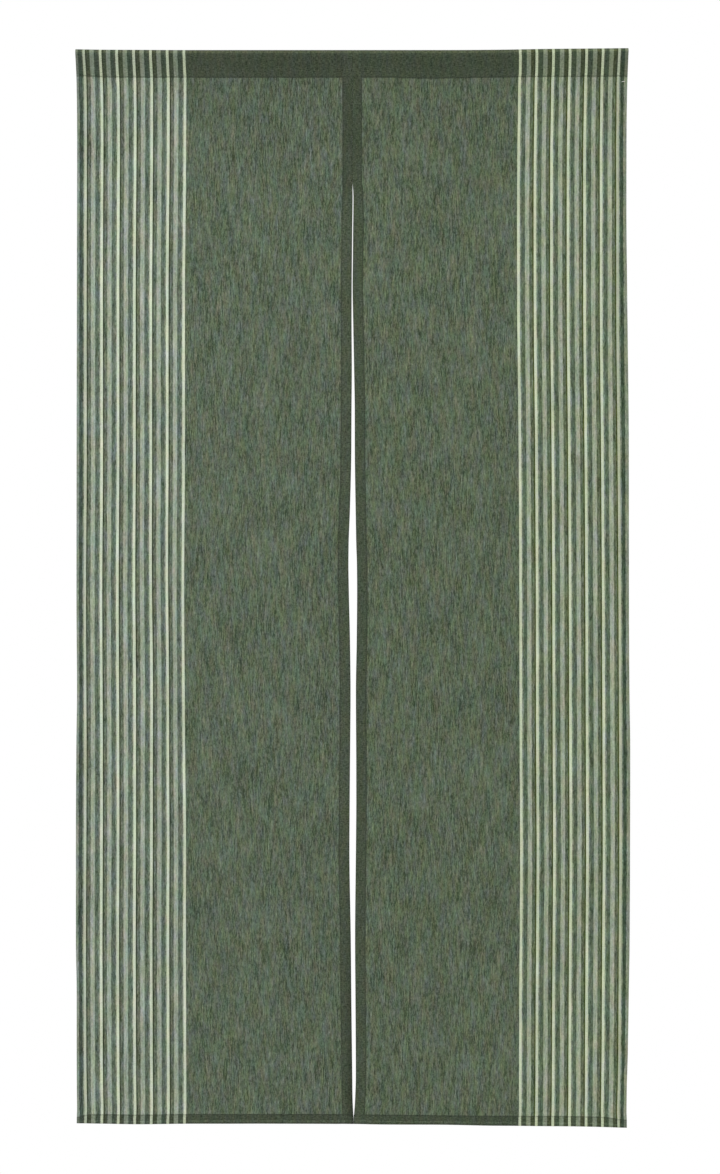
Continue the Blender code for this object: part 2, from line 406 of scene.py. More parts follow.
def foot_path(layers, hem):
    """The section of the foot hem: depths from the front layer, and heights above the foot.

    It runs down the front to the foot, round it, up the back, and down again inside the hem.
    """
    radius = (3 * layers - 1) * STACK / 2
    inner = (2 * layers - 1) * STACK / 2
    turn = steps(0, math.pi, FOLD_STEPS + 3)[:, None]
    down = steps(1, 0, 6, ends=False)[:, None]
    rise = steps(0, 1, 5)[1:-1, None]
    under = steps(0, 1, 4)[1:, None]
    parts = (
        (0 * down, radius + (hem - radius) * down),
        (radius * (1 - np.cos(turn)), radius * (1 - np.sin(turn))),
        (2 * radius + 0 * rise, radius + (hem - inner - radius) * rise),
        (2 * radius - inner * (1 - np.cos(turn)), hem - inner + inner * np.sin(turn)),
        (2 * radius - 2 * inner + 0 * under, hem - inner - (hem - FOOT_HEM + FOOT_TURN) * under),
    )
    depths, heights = (np.concatenate([part[k] + 0 * layers for part in parts]) for k in (0, 1))
    return depths, heights + CLOTH / 2


def back_normals(depths, drops):
    """The direction from the face of the cloth to its back, along a path read in order."""
    depth_step, drop_step = np.gradient(depths, axis=0), np.gradient(drops, axis=0)
    length = np.hypot(depth_step, drop_step)
    return drop_step / length, -depth_step / length


def path_length(depths, drops):
    """How far each point of a path lies from its start."""
    run = np.hypot(np.diff(depths), np.diff(drops))
    return np.concatenate(([0.0], np.cumsum(run)))


def sheet_points(panel):
    """The middle surface of a panel as rows by columns of points, with its place on the flat cloth."""
    columns = Columns(panel)
    stitch = BAND(columns.nominal) - STITCH_INSET
    hem, foot = HEM(columns.nominal), FOOT(columns.nominal)
    middle = FIELD_COLUMNS // 2

    def placed(depths, drops, base_drops):
        deeper, lower = back_normals(depths, drops)
        across = columns.across(drops)
        base = front_depth(panel, across, base_drops)
        return across, base + depths + deeper * columns.lift, drops + lower * columns.lift

    depths, drops = heading_path(columns.layers, RISE(columns.nominal), stitch)
    heading = placed(depths, drops, stitch + 0 * drops)
    heading_v = path_length(depths[:, middle], drops[:, middle])

    share = steps(0, 1, PANEL_ROWS + 1)[1:, None] ** ROW_CROWDING
    drops = stitch + share * (foot - hem - FIELD_GAP - stitch)
    across = columns.across(drops)
    field = (across, front_depth(panel, across, drops) + columns.lift, drops)
    field_v = share[:, 0] * (PANEL_LENGTH - FOOT_HEM - FIELD_GAP)

    depths, heights = foot_path(columns.layers, hem)
    drops = foot - heights
    turned_up = placed(depths, drops, drops)
    foot_v = path_length(depths[:, middle], heights[:, middle])

    across, depth, drop = (np.concatenate(parts) for parts in zip(heading, field, turned_up))
    across = across + pulled(across, drop)
    v = np.concatenate((heading_v - heading_v[-1], field_v, foot_v + PANEL_LENGTH - FOOT_HEM))
    points = np.stack((across, depth, -drop), axis=-1)
    crown = crown_highlight(heading_v - heading_v[-1], points[: len(heading_v), middle, 2])
    # where the painted highlights lie along the cloth
    marks = (crown, PANEL_LENGTH - FOOT_LINE)
    return points, columns.u, v, (columns.cloth_width, v[-1] - v[0]), marks


def crown_highlight(v, heights):
    """The place along the cloth of the painted highlight just below the top edge, on the front."""
    crown = int(np.argmax(heights))
    return float(np.interp(TOP_LINE, heights[crown] - heights[crown:], v[crown:]))


def add_object(name, data):
    added = bpy.data.objects.new(name, data)
    bpy.context.scene.collection.objects.link(added)
    return added


def add_mesh(name, points, faces, material):
    mesh = bpy.data.meshes.new(name)
    mesh.from_pydata(points.tolist(), [], faces)
    mesh.materials.append(material)
    return add_object(name, mesh)


def apply_modifiers(piece):
    """Replaces the piece's mesh by what its modifiers make of it."""
    graph = bpy.context.evaluated_depsgraph_get()
    finished = bpy.data.meshes.new_from_object(piece.evaluated_get(graph))
    piece.modifiers.clear()
    piece.data = finished


def make_cloth(panel):
    """One panel: a single sheet from inside its rod pocket to inside its foot hem."""
    points, u, v, flat, marks = sheet_points(panel)
    material = cloth_material(panel, marks)
    rows, columns = points.shape[:2]
    index = np.arange(rows * columns).reshape(rows, columns)
    corners = (index[:-1, :-1], index[1:, :-1], index[1:, 1:], index[:-1, 1:])
    if panel.sign > 0:
        corners = corners[::-1]
    faces = np.stack(corners, axis=-1).reshape(-1, 4)
    name = f"cloth_{panel.name}"
    cloth = add_mesh(name, points.reshape(-1, 3), faces.tolist(), material)
    flat_place = np.stack(np.meshgrid(u, v), axis=-1).reshape(-1, 2)
    layer = cloth.data.uv_layers.new(name="flat_cloth")
    layer.data.foreach_set("uv", flat_place[faces.reshape(-1)].ravel())
    solid = cloth.modifiers.new("thickness", "SOLIDIFY")
    solid.thickness = CLOTH
    solid.offset = 0.0
    solid.use_even_offset = True
    apply_modifiers(cloth)
    cloth.data.shade_smooth()
    cloth.data.set_sharp_from_angle(angle=SHARP_FROM)
    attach(cloth, "root")
    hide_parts(f"heading_{panel.name}", f"panel_{panel.name}")
    return cloth, flat


# Sewing
STITCH_PITCH = 0.0031
STITCH_LENGTH = 0.0025
THREAD = 0.00042  # thickness of the sewing thread
THREAD_FLATNESS = 0.8  # its height against its width
THREAD_SIDES = 6
GREEN_THREAD = (0.030, 0.040, 0.028)
WHITE_THREAD = (0.75, 0.76, 0.70)
TWIST_SCALE = 700.0
TWIST_TONES = (0.75, 1.25)  # painted shade between the thread's plies and painted light on them, as factors on its colour
RUN_INSET = 0.0012  # sewing across a panel keeps this far inside the cloth's edges
SLIT_RUN_INSET = 0.0030  # the slit hem's sewing starts this far below the pocket
ACROSS_POINTS = 140
SLIT_POINTS = 260

# Along one stitch: the places of its rings, and the height and half width of each. Its ends are sunk.
STITCH_SHARES = np.array((0.0, 0.12, 0.5, 0.88, 1.0))
STITCH_HEIGHTS = np.array((-0.30, 0.20, 0.42, 0.20, -0.30)) * THREAD
STITCH_WIDTHS = np.array((0.35, 0.85, 1.0, 0.85, 0.35)) * THREAD / 2

# The thread end: its drop, its radius, and its course as distances from the selvedge, further down and
# proud of the cloth
THREAD_END_DROP = 0.0488
THREAD_END_RADIUS = 0.00036
THREAD_END_COURSE = (
    (-0.0034, 0.0000, -0.0004),
    (-0.0042, 0.0001, 0.0003),
    (-0.0060, 0.0003, 0.0004),
    (-0.0078, 0.0006, 0.0004),
    (-0.0088, 0.0011, 0.0003),
)


def make_stitches(name, runs, material):
    """Sewing along runs on the cloth: each stitch is a short flattened thread with sunk ends.

    A run is its points and the way it faces: -1 to the front and 1 to the back.
    """
    sides, rings = THREAD_SIDES, len(STITCH_SHARES)
    angles = np.arange(sides) * 2 * math.pi / sides
    wide = np.cos(angles)[None, :] * STITCH_WIDTHS[:, None]
    high = np.sin(angles)[None, :] * STITCH_WIDTHS[:, None] * THREAD_FLATNESS
    points, faces = [], []
    for path, facing in runs:
        outward = np.array((0.0, facing, 0.0))
        lengths = np.linalg.norm(np.diff(path, axis=0), axis=1)
        place = np.concatenate(([0.0], np.cumsum(lengths)))
        for start in np.arange(STITCH_PITCH / 2, lengths.sum() - STITCH_LENGTH, STITCH_PITCH):
            along = start + STITCH_SHARES * STITCH_LENGTH
            centre = np.stack([np.interp(along, place, path[:, k]) for k in range(3)], axis=-1)
            centre = centre + outward * STITCH_HEIGHTS[:, None]
            way = centre[-1] - centre[0]
            beside = np.cross(outward, way / np.linalg.norm(way))
            first = len(points) * sides * rings
            ring = beside * wide[..., None] + outward * high[..., None]
            points.append((centre[:, None, :] + ring).reshape(-1, 3))
            for k in range(rings - 1):
                for j in range(sides):
                    a, b = first + k * sides + j, first + k * sides + (j + 1) % sides
                    faces.append((a, b, b + sides, a + sides))
            last = first + (rings - 1) * sides
            faces.append(tuple(range(first + sides - 1, first - 1, -1)))
            faces.append(tuple(range(last, last + sides)))
    piece = add_mesh(name, np.concatenate(points), faces, material)
    piece.data.shade_smooth()
    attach(piece, "root")
    return piece


def across_run(panel, drop_at, behind, facing):
    """A run of sewing across a panel, on the front layer or, where behind is 1, on the last."""
    start, end = panel.sign * RUN_INSET, panel.sign * (panel.width - RUN_INSET)
    across = steps(start, end, ACROSS_POINTS)
    drop = drop_at(across)
    across = across + (SELVEDGE[panel.name](drop) - panel.sign * panel.width) * across / end
    layers = 1 + bell(across, TURNING)
    depth = front_depth(panel, across, drop) + behind * (3 * layers - 1) * STACK
    depth = depth + facing * CLOTH / 2
    return np.stack((across, depth, -drop), axis=-1), facing


def slit_run(panel, behind, facing):
    """A run of sewing down the turned edge of the slit hem."""
    foot = float(FOOT(0.0) - HEM(0.0)) - FIELD_GAP
    drop = steps(float(BAND(0.0)) + SLIT_RUN_INSET, foot, SLIT_POINTS)
    across = SLIT_EDGE[panel.name](drop) + panel.sign * (turned_width(panel, drop) - STITCH_EDGE)
    depth = front_depth(panel, across, drop) + behind * STACK + facing * CLOTH / 2
    return np.stack((across, depth, -drop), axis=-1), facing


def heading_line(across):
    return BAND(across) - STITCH_INSET


def foot_line(across):
    return FOOT(across) - HEM(across) + FOOT_STITCH


def sew_panel(panel, material):
    """Three lines of sewing, each with a run on the front and a run on the back."""
    front, back = (0, -1), (1, 1)
    lines = {
        "heading": [across_run(panel, heading_line, *way) for way in (front, back)],
        "foot": [across_run(panel, foot_line, *way) for way in (front, back)],
        "slit": [slit_run(panel, *way) for way in (front, back)],
    }
    return [make_stitches(f"{line}_stitches_{panel.name}", runs, material) for line, runs in lines.items()]


def make_thread_end(material):
    """A short pale thread end below the heading, which comes out of the cloth beside the selvedge."""
    panel = PANELS[1]
    drop = THREAD_END_DROP
    selvedge = float(SELVEDGE[panel.name](drop))
    curve = bpy.data.curves.new("thread_end", "CURVE")
    curve.dimensions = "3D"
    curve.bevel_depth = THREAD_END_RADIUS
    curve.bevel_resolution = 2
    curve.use_fill_caps = True
    line = curve.splines.new("NURBS")
    line.points.add(len(THREAD_END_COURSE) - 1)
    for point, (beside, lower, proud) in zip(line.points, THREAD_END_COURSE):
        depth = float(front_depth(panel, np.array(selvedge + beside), np.array(drop)))
        point.co = (selvedge + beside, depth - CLOTH / 2 - proud, -drop - lower, 1.0)
    line.use_endpoint_u = True
    line.order_u = 3
    curve.materials.append(material)
    piece = add_object("thread_end", curve)
    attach(piece, "root")
    return piece


# Yarns and weave, on the flat cloth
YARN = 0.00080  # from one warp yarn to the next
PAIR = 0.00155  # warp yarns dyed together, side by side
WEFT = 0.00095  # from one weft yarn to the next
BUMP_STRENGTH = 0.45
BUMP_DEPTH = 0.00012
VEIL = 0.006  # light that the cloth's gloss adds, in linear colour
DARKEST = 0.002  # no part of a colour is darker than this, in linear colour
LIGHT_GAIN = {"left": 1.215, "right": 1.187}  # how much brighter than its own colour each panel looks

# Tones of the cloth in even light, from 0 to 255: the left panel's where it is single and where it is
# doubled, and then the right panel's. Single cloth is lighter here with painted light that shines
# through it from behind. The warm and cool tones lie after and before each cream stripe.
TONES = {
    "cream": ((196, 206, 183), (178, 188, 162), (195, 205, 177), (188, 199, 168)),
    "first_cream": ((178, 186, 165), (166, 176, 152), (175, 183, 157), (172, 182, 155)),
    "beside": ((61, 71, 54), (60, 67, 52), (71, 82, 44), (61, 69, 50)),
    "warm": ((99, 108, 93), (69, 77, 61), (96, 107, 85), (72, 80, 59)),
    "mid_warm": ((154, 162, 146), (123, 132, 115), (156, 165, 145), (127, 137, 116)),
    "mid_cool": ((151, 164, 147), (122, 133, 116), (152, 163, 140), (126, 137, 114)),
    "cool": ((94, 107, 93), (68, 79, 66), (90, 104, 85), (71, 83, 66)),
    "before": ((122, 132, 115), (76, 84, 70), (122, 134, 117), (78, 87, 69)),
    "edge": ((72, 84, 74), (62, 73, 62), (70, 85, 68), (60, 73, 58)),
    "selvedge": ((130, 141, 127), (104, 113, 100), (133, 142, 121), (106, 115, 97)),
    "field": ((91, 102, 85), (70, 78, 64), (90, 101, 83), (70, 79, 64)),
}

# Places across one stripe period, from the middle of a cream stripe
CREAM_HALF = 0.00206
BESIDE_CREAM = 0.00200  # width of the darker yarns after the cream stripe
MID_START = 0.00908
MID_END = 0.01570
BEFORE_CREAM = 0.00210  # width of the lighter yarns before the cream stripe
FIRST_START = 0.00170  # half width of the first cream stripe on its selvedge side
FIRST_BEFORE = 0.00190  # width of the lighter yarns before that one
STRIPE_JOIN = 0.006  # half of the soft join between two stripes, as a share of the period
EDGE_JOIN = 0.020  # and of the joins at the selvedge, as a share of the edge's width
PART_JOIN = 0.0002  # where the edge meets the stripes, and they meet the field
HEM_JOIN = 0.0003  # where doubled cloth starts

# Factors on the cloth's tone
HEADING_SHADE = 0.91  # the heading, against the foot hem
SEAM_PAINTED_LIGHT = 1.085  # painted light on the heading over the seam's turnings, which push it forward
SEAM_HOLLOW_SHADE = 0.925  # painted shade on the heading just beside those turnings
RIM_SHADE = 0.76  # the folded edges of the slit
CURL_SHADE = 0.46  # the left slit hem near the foot, where it curls away from the light
# Painted highlights along the creases below the top edge and above the foot
TOP_HIGHLIGHT = 1.50
FOOT_HIGHLIGHT = 1.46
HIGHLIGHT_TINT = (1.10, 1.02, 0.90)  # the painted highlight below the top edge is a little warmer
PALE = 0.30  # the painted highlights don't lighten the cloth past about this linear tone
DIMPLE_SHADE = 0.86  # painted shade along the stitches, which draw the cloth in

# More factors, which differ from panel to panel: the slit hem below the seam against the foot hem, and
# the plain field: painted shade under the heading, and painted light beside the stripes and beside the
# slit
Shading = namedtuple("Shading", "slit_hem under_heading beside_stripes beside_slit")
SHADING = {
    "left": Shading(1.24, 0.870, 1.025, 1.010),
    "right": Shading(1.09, 0.890, 1.035, 1.025),
}

# How far those factors reach
UNDER_HEADING = 0.190
BESIDE_STRIPES = 0.045
BESIDE_SLIT = 0.120
HOLLOW_AWAY = 0.0050  # from the seam's turnings to the middle of the painted shade in the hollow beside them
HOLLOW_HALF = 0.0080
RIM_WIDTH = 0.0016
RIM_FADE = 0.0010
CURL_WIDTH = 0.0170
CURL_START = 1.15  # below the heading stitches
CURL_LENGTH = 0.42
TOP_HIGHLIGHT_HALF = 0.0037
FOOT_HIGHLIGHT_HALF = 0.0016
DIMPLE_HALF = 0.0014

# Uneven tone along single yarns: the length over which it changes, and its strength
PAIR_TONE = (0.046, 2.4)
YARN_TONE = (0.024, 1.3)
SLUB_TONE = (0.0078, 2.0)

# Uneven tone and hue over the cloth: how wide and how long its marks are
SLOW_TONE = (0.0300, 0.1100)
WEFT_TONE = (0.0046, 0.0017)
MAUVE_DRIFT = (0.0115, 0.0240)
SLOW_MAUVE_DRIFT = (0.0140, 0.1500)
WARM_DRIFT = (0.0120, 0.0480)

# How strong each is. The yarns of the stripes are set against those of the plain field.
MID_YARNS = 0.43
WARM_YARNS = 0.95
COOL_YARNS = 0.90
CREAM_YARNS = 0.17
YARN_JOIN = 0.01  # the cream stripe's yarns reach this far past it, as a share of the period
DOUBLED_CALM = 0.70  # doubled cloth loses this much of its yarns' unevenness
DOUBLED_SLUBS = 0.42  # but its slubs keep this much
SLOW_SHARE = 0.40
DOUBLED_SLOW = 0.25  # less than that, in doubled cloth
WEFT_SHARE = 0.40
DOUBLED_WEFT = 0.25  # more than that, in doubled cloth
YARN_WEFT = 1.05  # and more again where the yarns vary
WEAVE_TONE = 0.11  # how far the tone swings between the tops and the dips of the weave
DEEPEST = -0.60  # the tone never falls by more
HUE_STRENGTH = 0.62  # how far the yarns stray in hue, in the plain field
HUE_POWER = 0.4  # hue fades less than tone where the yarns vary less
MAUVE_SWING = 1.5
SLOW_MAUVE_SWING = 0.5
WARM_SWING = 1.6

# Hues that the dyed yarns run through, as factors on the cloth's colour
WARM_TO_COOL = (
    (0.22, (1.13, 1.00, 0.83)),
    (0.38, (1.05, 1.01, 0.92)),
    (0.50, (1.00, 1.00, 1.00)),
    (0.62, (0.95, 0.99, 1.08)),
    (0.78, (0.88, 0.99, 1.20)),
)
GREEN_TO_MAUVE = (
    (0.22, (0.900, 1.045, 0.865)),
    (0.38, (0.963, 1.018, 0.945)),
    (0.50, (1.000, 1.000, 1.000)),
    (0.62, (1.045, 0.983, 1.063)),
    (0.78, (1.118, 0.956, 1.172)),
)
WHITE = (1.0, 1.0, 1.0, 1.0)
TONE_SPREAD = (1.08, 1.00, 1.10)  # paler yarns are greyer, so red and blue swing further than green


class Nodes:
    """Short names for the nodes of a material or a world."""

    def __init__(self, owner):
        owner.use_nodes = True
        self.tree = owner.node_tree

    def put(self, node, values):
        """Links outputs to a node's inputs, or sets numbers and colours there, by name or number."""
        for place, value in values.items():
            if isinstance(value, bpy.types.NodeSocket):
                self.tree.links.new(value, node.inputs[place])
            else:
                node.inputs[place].default_value = value

    def add(self, kind, values=None, **settings):
        node = self.tree.nodes.new(kind)
        for name, value in settings.items():
            setattr(node, name, value)
        self.put(node, values or {})
        return node

    def surface(self, values):
        """Values for the material's own shader."""
        self.put(self.tree.nodes["Principled BSDF"], values)

    def math(self, operation, *values):
        return self.add("ShaderNodeMath", dict(enumerate(values)), operation=operation).outputs[0]

    def times(self, first, second):
        return self.math("MULTIPLY", first, second)

    def times_plus(self, first, second, third):
        return self.math("MULTIPLY_ADD", first, second, third)

    def minus(self, first, second):
        return self.math("SUBTRACT", first, second)

    def mix(self, share, first, second, blend="MIX"):
        values = {"Factor": share, "A": first, "B": second}
        return self.add("ShaderNodeMix", values, data_type="RGBA", blend_type=blend).outputs["Result"]

    def ramp(self, place, stops, interpolation="LINEAR"):
        """A colour ramp with (place, colour) stops."""
        node = self.add("ShaderNodeValToRGB")
        node.color_ramp.interpolation = interpolation
        elements = node.color_ramp.elements
        while len(elements) < len(stops):
            elements.new(0.5)
        for element, (position, colour) in zip(elements, stops):
            element.position = position
            element.color = (*colour, 1.0)
        self.put(node, {0: place})
        return node.outputs["Color"]

    def mapped(self, value, start, end, low=0.0, high=1.0):
        """From low to high as the value goes from start to end, and no further."""
        values = {"Value": value, "From Min": start, "From Max": end, "To Min": low, "To Max": high}
        return self.add("ShaderNodeMapRange", values).outputs[0]

    def rising(self, value, start, width):
        """0 below start, 1 above start + width, and even in between."""
        return self.mapped(value, start, start + width)

    def falling(self, value, start, width):
        """1 below start, 0 above start + width, and even in between."""
        return self.mapped(value, start, start + width, 1.0, 0.0)

    def line(self, place, mark, half_width):
        """1 in the middle of a soft line across the given place, and 0 beyond its half width."""
        away = self.math("ABSOLUTE", self.minus(place, mark))
        return self.falling(away, half_width / 2, half_width / 2)

    def cell(self, value, size):
        """The number of the cell of the given size that a place lies in."""
        return self.math("FLOOR", self.times(value, 1 / size))

    def noise(self, place, dimensions, detail):
        """Smooth noise from -0.5 to 0.5."""
        values = {**place, "Scale": 1.0, "Detail": detail, "Roughness": 0.7}
        node = self.add("ShaderNodeTexNoise", values, noise_dimensions=dimensions)
        return self.minus(node.outputs[0], 0.5)

    def yarn_noise(self, yarn, along, length, seed, detail=4.0):
        """Noise along each yarn, with its own course on every yarn."""
        number = {"W": self.math("ADD", yarn, seed)}
        own = self.add("ShaderNodeTexWhiteNoise", number, noise_dimensions="1D")
        start = self.times(own.outputs["Value"], 800.0)
        return self.noise({"W": self.times_plus(along, 1 / length, start)}, "1D", detail)

    def drift(self, across, along, width, length, seed, detail=1.0):
        """Noise in both directions."""
        x, y = self.times_plus(across, 1 / width, seed), self.times_plus(along, 1 / length, seed)
        place = self.add("ShaderNodeCombineXYZ", {"X": x, "Y": y})
        return self.noise({"Vector": place.outputs[0]}, "2D", detail)

    def factor(self, place, factor):
        """The factor where the place is 1, and 1 where it is 0."""
        return self.times_plus(place, factor - 1, 1.0)

    def scaled(self, colour, factor):
        values = {0: colour, "Scale": factor}
        return self.add("ShaderNodeVectorMath", values, operation="SCALE").outputs[0]


def own_colour(tone, gain):
    """The linear colour of a surface that the lights show in the given tone."""
    linear = [((part / 255 + 0.055) / 1.055) ** 2.4 for part in tone]
    return tuple(max(part - VEIL, DARKEST) / gain for part in linear)


def steps_of_colour(nodes, place, bands, soft):
    """A ramp of even bands with short soft joins. bands holds (end, colour) in the ramp's 0 to 1."""
    stops = []
    start = 0.0
    for end, colour in bands:
        stops += [(max(start + soft, 0.0), colour), (min(end - soft, 1.0), colour)]
        start = end
    return nodes.ramp(place, stops)


def striped_colour(nodes, u, panel, doubled):
    """The colour across the cloth: selvedge, dark edge, stripes and plain field."""
    column = 2 * (panel.sign > 0) + doubled
    gain = LIGHT_GAIN[panel.name]
    colours = SimpleNamespace(**{name: own_colour(row[column], gain) for name, row in TONES.items()})
    period = STRIPE_PERIOD
    from_cream = nodes.times_plus(u, 1 / period, 1.5 - panel.first_cream / period)
    phase = nodes.math("FRACT", from_cream)

    def at(distance):
        return 0.5 + distance / period

    bands = (
        (at(MID_END - period), colours.mid_cool),
        (at(-CREAM_HALF - BEFORE_CREAM), colours.cool),
        (at(-CREAM_HALF), colours.before),
        (at(CREAM_HALF), colours.cream),
        (at(CREAM_HALF + BESIDE_CREAM), colours.beside),
        (at(MID_START), colours.warm),
        (1.0, colours.mid_warm),
    )
    stripes = steps_of_colour(nodes, phase, bands, STRIPE_JOIN)
    width = panel.first_cream + CREAM_HALF
    cream_start = panel.first_cream - FIRST_START
    bands = (
        (panel.selvedge / width, colours.selvedge),
        ((cream_start - FIRST_BEFORE) / width, colours.edge),
        (cream_start / width, colours.before),
        (1.0, colours.first_cream),
    )
    edge = steps_of_colour(nodes, nodes.math("DIVIDE", u, width), bands, EDGE_JOIN)
    striped = nodes.mix(nodes.rising(u, width, PART_JOIN), edge, stripes)
    in_field = nodes.rising(u, stripes_end(panel), PART_JOIN)
    return nodes.mix(in_field, striped, (*colours.field, 1.0)), phase, in_field


def stripes_end(panel):
    """Where the last cream stripe ends on the flat cloth."""
    return panel.first_cream + LAST_CREAM * STRIPE_PERIOD + CREAM_HALF


def hem_zones(nodes, u, v, panel):
    """Where the cloth is the heading, the foot hem and the slit hem: 0 or 1."""
    heading = nodes.falling(v, STITCH_INSET - HEM_JOIN, HEM_JOIN)
    foot_hem = nodes.rising(v, PANEL_LENGTH - FOOT_HEM, HEM_JOIN)
    slit_hem = nodes.rising(u, panel.width - TURNING, HEM_JOIN)
    return heading, foot_hem, slit_hem


def placed_shades(nodes, u, v, panel, heading, slit_hem, in_field):
    """Mostly painted shade and light: factors on the tone at the heading, hems and slowly over the field.
    """
    shading = SHADING[panel.name]
    below_seam = nodes.rising(v, SEAM_FOOT - POCKET_DROP, TURN_OPEN)
    from_slit = nodes.math("ABSOLUTE", nodes.minus(u, panel.width))
    rim = nodes.falling(from_slit, RIM_WIDTH - RIM_FADE, RIM_FADE)
    hollow_shade = nodes.line(u, panel.width - TURNING - HOLLOW_AWAY, HOLLOW_HALF)
    under_heading = nodes.minus(nodes.falling(v, 0.0, UNDER_HEADING), heading)
    near_stripes = nodes.times(in_field, nodes.falling(u, stripes_end(panel), BESIDE_STRIPES))
    near_slit = nodes.minus(nodes.falling(from_slit, 0.0, BESIDE_SLIT), slit_hem)
    shades = [
        (heading, HEADING_SHADE),
        (nodes.times(heading, slit_hem), SEAM_PAINTED_LIGHT),
        (nodes.times(heading, hollow_shade), SEAM_HOLLOW_SHADE),
        (nodes.times(slit_hem, below_seam), shading.slit_hem),
        (nodes.times(rim, below_seam), RIM_SHADE),
        (under_heading, shading.under_heading),
        (near_stripes, shading.beside_stripes),
        (nodes.math("MAXIMUM", near_slit, 0.0), shading.beside_slit),
        (nodes.line(v, 0.0, DIMPLE_HALF), DIMPLE_SHADE),
        (nodes.line(v, PANEL_LENGTH - FOOT_HEM + FOOT_STITCH, DIMPLE_HALF), DIMPLE_SHADE),
        (nodes.line(u, panel.width - TURNING + STITCH_EDGE, DIMPLE_HALF), DIMPLE_SHADE),
    ]
    if panel.name == "left":
        curl = nodes.falling(from_slit, 0.0, CURL_WIDTH)
        shades.append((nodes.times(curl, nodes.rising(v, CURL_START, CURL_LENGTH)), CURL_SHADE))
    return shades


def highlighted(nodes, colour, v, marks):
    """The colour with painted highlights along the creases below the top edge and above the foot, less
    where pale.
    """
    grey = nodes.add("ShaderNodeRGBToBW", {0: colour})
    paleness = nodes.math("MINIMUM", nodes.math("DIVIDE", grey.outputs[0], PALE), 1.0)
    darkness = nodes.minus(1.0, paleness)
    top = nodes.times(nodes.line(v, marks[0], TOP_HIGHLIGHT_HALF), darkness)
    foot = nodes.times(nodes.line(v, marks[1], FOOT_HIGHLIGHT_HALF), darkness)
    tinted = nodes.mix(top, WHITE, (*HIGHLIGHT_TINT, 1.0))
    colour = nodes.mix(1.0, colour, tinted, blend="MULTIPLY")
    colour = nodes.scaled(colour, nodes.factor(top, TOP_HIGHLIGHT))
    return nodes.scaled(colour, nodes.factor(foot, FOOT_HIGHLIGHT))


def yarn_strength(nodes, phase, in_field):
    """How strongly the yarns vary: fully in the plain field, and least on the cream stripes."""
    half = CREAM_HALF / STRIPE_PERIOD
    bands = (
        (0.0, MID_YARNS),
        (MID_END / STRIPE_PERIOD - 0.5, COOL_YARNS),
        (0.5 - half, CREAM_YARNS),
        (0.5 + half + YARN_JOIN, WARM_YARNS),
        (MID_START / STRIPE_PERIOD + 0.5, MID_YARNS),
    )
    stops = [(place, (strength,) * 3) for place, strength in bands]
    stripes = nodes.ramp(phase, stops, interpolation="CONSTANT")
    return nodes.mix(in_field, stripes, WHITE)


def weave_height(nodes, u, v):
    """Rounded warp yarns that dip under every other weft, from about -1 to 1."""
    across = nodes.math("COSINE", nodes.times(u, 2 * math.pi / YARN))
    swap = nodes.times(nodes.math("MODULO", nodes.cell(u, YARN), 2.0), math.pi)
    over = nodes.math("COSINE", nodes.times_plus(v, math.pi / WEFT, swap))
    return nodes.times_plus(over, 0.5, nodes.times(across, -0.5))


def toned(nodes, colour, u, v, panel, doubled, yarns, strength, weave):
    """The colour with the uneven tone of yarns dyed in lengths, of slubs, of the weft and of the weave."""
    seed = panel.seed
    pair, single = nodes.cell(u, PAIR), nodes.cell(u, YARN)
    slubs = nodes.times_plus(nodes.times(doubled, yarns), DOUBLED_SLUBS, strength)
    more_weft = nodes.times(doubled, nodes.times_plus(yarns, YARN_WEFT, DOUBLED_WEFT))
    tone = 0.0
    for noise, share in (
        (nodes.yarn_noise(pair, v, PAIR_TONE[0], seed + 0.37), nodes.times(strength, PAIR_TONE[1])),
        (nodes.yarn_noise(single, v, YARN_TONE[0], seed + 5.11), nodes.times(strength, YARN_TONE[1])),
        (nodes.yarn_noise(single, v, SLUB_TONE[0], seed + 3.71, 2.0), nodes.times(slubs, SLUB_TONE[1])),
        (nodes.drift(u, v, *SLOW_TONE, seed + 4.61), nodes.times_plus(doubled, -DOUBLED_SLOW, SLOW_SHARE)),
        (nodes.drift(u, v, *WEFT_TONE, seed + 8.13, 2.0), nodes.math("ADD", more_weft, WEFT_SHARE)),
        (weave, WEAVE_TONE),
    ):
        tone = nodes.times_plus(noise, share, tone)
    values = {0: nodes.math("MAXIMUM", tone, DEEPEST), 1: TONE_SPREAD, 2: (1.0, 1.0, 1.0)}
    spread = nodes.add("ShaderNodeVectorMath", values, operation="MULTIPLY_ADD")
    return nodes.mix(1.0, colour, spread.outputs[0], blend="MULTIPLY")


def hued(nodes, colour, u, v, panel, strength):
    """The colour with the hues that its yarns run through."""
    seed = panel.seed
    mauve = nodes.drift(u, v, *MAUVE_DRIFT, seed + 9.47, 2.0)
    slow_mauve = nodes.drift(u, v, *SLOW_MAUVE_DRIFT, seed + 6.83)
    warmth = nodes.drift(u, v, *WARM_DRIFT, seed + 2.29, 3.0)
    slow_mauve = nodes.times_plus(slow_mauve, SLOW_MAUVE_SWING, 0.5)
    tint = nodes.ramp(nodes.times_plus(mauve, MAUVE_SWING, slow_mauve), GREEN_TO_MAUVE)
    other = nodes.ramp(nodes.times_plus(warmth, WARM_SWING, 0.5), WARM_TO_COOL)
    tint = nodes.mix(1.0, tint, other, blend="MULTIPLY")
    hue_strength = nodes.times(nodes.math("POWER", strength, HUE_POWER), HUE_STRENGTH)
    tint = nodes.mix(hue_strength, WHITE, tint)
    return nodes.mix(1.0, colour, tint, blend="MULTIPLY")


